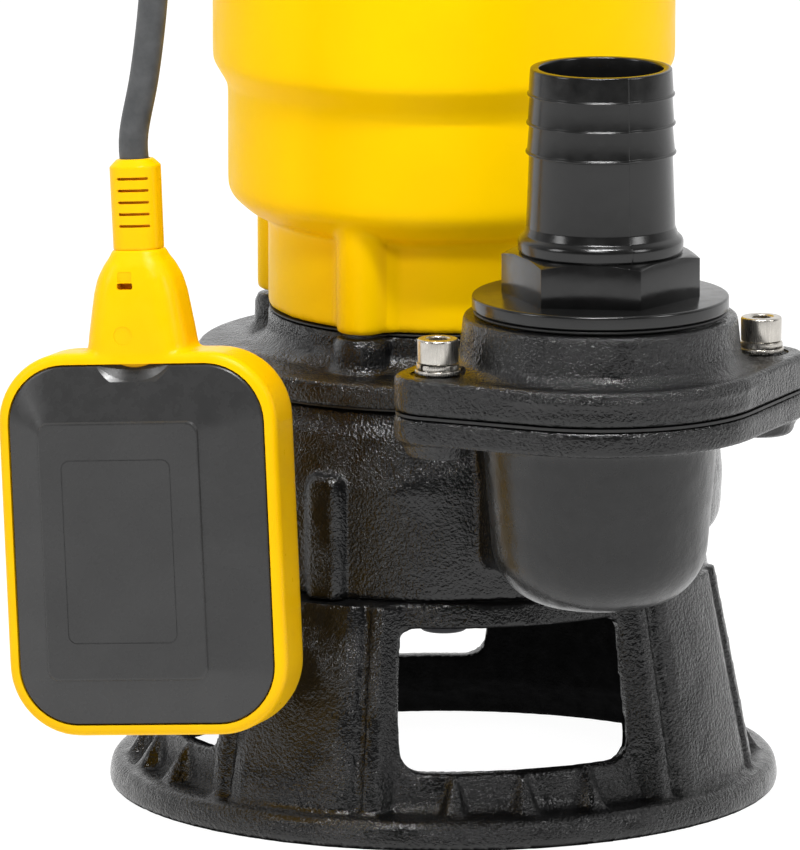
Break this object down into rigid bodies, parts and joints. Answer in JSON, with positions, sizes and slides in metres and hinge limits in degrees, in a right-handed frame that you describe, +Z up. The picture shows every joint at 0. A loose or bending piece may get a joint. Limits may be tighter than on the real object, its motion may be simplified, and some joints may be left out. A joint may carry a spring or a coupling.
{
  "type": "submersible sump pump",
  "caption": "Submersible sump pump with a slotted strainer base, side discharge with hose barb, round motor housing, carrying handle and a tethered float switch.",
  "frame": {"origin": "on the floor, at the middle of the footprint's box measured without the float cable; the pump axis stands at x 0.0295, y 0.044", "axes": "+Z up along the shaft, -Y towards the discharge outlet, +X to the right seen from the outlet"},
  "size_m": [0.289, 0.318, 0.454],
  "materials": {
    "yellow_paint": "satin enamel",
    "black_paint": "glossy cast enamel",
    "black_plastic": "moulded, semi-gloss",
    "yellow_plastic": "moulded, satin",
    "grey_plastic": "moulded, satin",
    "stainless": "machined",
    "steel": "ground",
    "rubber": "matte",
    "cable_rubber": "matte",
    "lamination": "stacked sheet",
    "copper": "enamelled wire",
    "aluminium": "die cast",
    "carbon": "lapped",
    "cast_iron": "as cast"
  },
  "bodies": {
    "pump": {"barb_seal_ring": "rubber", "base_strainer": "black_paint", "bearing_plate": "aluminium", "cap_gasket": "rubber", "cap_screw_1": "stainless", "cap_screw_2": "stainless", "cap_screw_3": "stainless", "cap_screw_4": "stainless", "capacitor": "grey_plastic", "discharge_flange": "black_paint", "discharge_gasket": "rubber", "flange_screw_left": "stainless", "flange_screw_right": "stainless", "flange_washer_left": "stainless", "flange_washer_right": "stainless", "float_cable_lead": "cable_rubber", "float_gland": "black_plastic", "float_gland_nut": "black_plastic", "handle": "black_plastic", "handle_screw_back": "stainless", "handle_screw_front": "stainless", "hose_barb": "black_plastic", "housing_gasket": "rubber", "lower_bearing_outer": "steel", "lower_seal_seat": "carbon", "motor_housing": "yellow_paint", "oil_chamber_cover": "cast_iron", "oil_plug": "stainless", "oil_seal": "rubber", "power_gland": "black_plastic", "power_gland_nut": "black_plastic", "power_gland_plug": "rubber", "seal_chamber": "black_paint", "stator_core": "lamination", "suction_plate": "cast_iron", "terminal_block": "grey_plastic", "top_cap": "yellow_paint", "upper_bearing_outer": "steel", "volute_casing": "black_paint", "volute_gasket": "rubber", "winding_lower": "copper", "winding_upper": "copper"},
    "rotor": {"cutter_blade": "steel", "cutter_nut": "stainless", "cutter_spacer": "steel", "impeller": "cast_iron", "lower_bearing_inner": "steel", "lower_seal_collar": "steel", "lower_seal_ring": "carbon", "motor_shaft": "steel", "rotor_core": "lamination", "upper_bearing_inner": "steel"},
    "float": {"float_shell": "yellow_plastic", "float_cover": "grey_plastic", "float_boot": "yellow_plastic", "microswitch": "black_plastic", "float_cable_drop": "cable_rubber"},
    "ball": {"float_ball": "steel"},
    "lever": {"switch_lever": "steel"}
  },
  "joints": [
    {"name": "rotor_spin", "type": "hinge", "parent": "pump", "child": "rotor", "pos_m": [0.02953, 0.044, 0.2], "axis": [0, 0, -1], "continuous": true},
    {"name": "float_swing", "type": "hinge", "parent": "pump", "child": "float", "pos_m": [-0.09231, -0.01412, 0.411], "axis": [-0.4305, 0.9026, 0], "range_deg": [0, 110]},
    {"name": "ball_roll", "type": "slide", "parent": "float", "child": "ball", "axis": [-0.0104, 0.0969, 0.9952], "range_m": [0, 0.008]},
    {"name": "lever_turn", "type": "hinge", "parent": "float", "child": "lever", "pos_m": [-0.10907, -0.00562, 0.10934], "axis": [-0.5787, -0.8122, 0.0731], "range_deg": [0, 29]}
  ],
  "couplings": [
    {"joint": "lever_turn", "follows": "ball_roll", "rad_per_m": 62.5}
  ]
}
